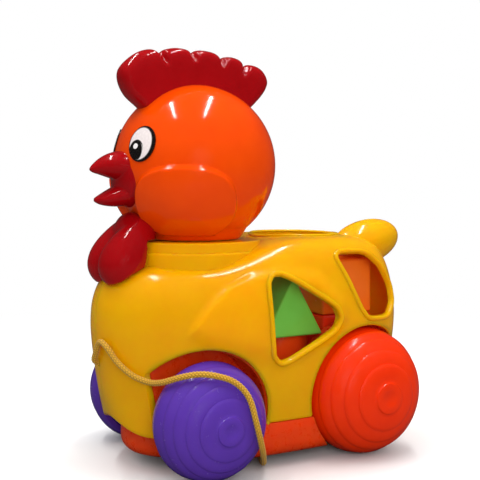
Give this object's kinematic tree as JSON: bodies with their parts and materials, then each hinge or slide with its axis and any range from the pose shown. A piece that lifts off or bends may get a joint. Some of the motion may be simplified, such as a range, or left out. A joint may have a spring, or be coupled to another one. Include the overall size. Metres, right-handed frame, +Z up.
{
  "type": "pull-along toy chicken",
  "caption": "Plastic pull-along toy chicken on wheels, with a turning head, window openings in its hollow body, sorting blocks inside and a pull cord.",
  "frame": {"origin": "on the ground under the middle of the toy without its cord", "axes": "+Z up, the chicken faces -Y, its left side is +X"},
  "size_m": [0.1884, 0.2019, 0.2246],
  "materials": {
    "yellow": "glossy moulded plastic",
    "orange": "glossy moulded plastic",
    "red": "glossy moulded plastic",
    "purple": "glossy moulded plastic",
    "scarlet": "glossy moulded plastic",
    "tray_red": "glossy moulded plastic",
    "steel": "drawn wire, plated",
    "eye_print": "printed plastic film",
    "cord": "braided cord",
    "tie": "thin plastic band",
    "block_scarlet": "satin moulded plastic",
    "block_green": "satin moulded plastic",
    "block_red": "satin moulded plastic",
    "block_orange": "satin moulded plastic"
  },
  "bodies": {
    "toy_body": {"base_tray": "tray_red", "base_screw_1": "steel", "base_screw_2": "steel", "base_screw_3": "steel", "base_screw_4": "steel", "body_left_shell": "yellow", "body_right_shell": "yellow", "cord_lead": "cord", "cord_coil": "cord", "cord_stop_knot": "cord", "cord_end_knot": "cord", "cord_tie": "tie"},
    "head": {"head_left_shell": "orange", "head_right_shell": "orange", "comb": "red", "beak": "red", "wattle": "red", "eye_left": "eye_print", "eye_right": "eye_print"},
    "front_axle_set": {"front_axle": "steel", "front_wheel_left": "purple", "front_wheel_right": "purple", "front_wheel_cap_left": "purple", "front_wheel_cap_right": "purple"},
    "rear_axle_set": {"rear_axle": "steel", "rear_wheel_left": "scarlet", "rear_wheel_right": "scarlet", "rear_wheel_cap_left": "scarlet", "rear_wheel_cap_right": "scarlet"},
    "scarlet_disc": {"block_disc_scarlet": "block_scarlet"},
    "green_prism": {"block_triangle_green": "block_green"},
    "red_square": {"block_square_red": "block_red"},
    "orange_square": {"block_square_orange": "block_orange"}
  },
  "joints": [
    {"name": "head_turn", "type": "hinge", "parent": "toy_body", "child": "head", "pos_m": [0, -0.0397, 0.1196], "axis": [0, 0, 1], "range_deg": [-45, 45]},
    {"name": "front_axle_spin", "type": "hinge", "parent": "toy_body", "child": "front_axle_set", "pos_m": [0, -0.0535, 0.03], "axis": [1, 0, 0], "continuous": true},
    {"name": "rear_axle_spin", "type": "hinge", "parent": "toy_body", "child": "rear_axle_set", "pos_m": [0, 0.043, 0.0348], "axis": [1, 0, 0], "continuous": true},
    {"name": "scarlet_disc_lift", "type": "slide", "parent": "toy_body", "child": "scarlet_disc", "axis": [0, 0, 1], "range_m": [0, 0.005]},
    {"name": "green_prism_lift", "type": "slide", "parent": "scarlet_disc", "child": "green_prism", "axis": [0, 0, 1], "range_m": [0, 0.01]},
    {"name": "red_square_lift", "type": "slide", "parent": "toy_body", "child": "red_square", "axis": [0, 0, 1], "range_m": [0, 0.001]},
    {"name": "orange_square_lift", "type": "slide", "parent": "red_square", "child": "orange_square", "axis": [0, 0, 1], "range_m": [0, 0.002]}
  ]
}
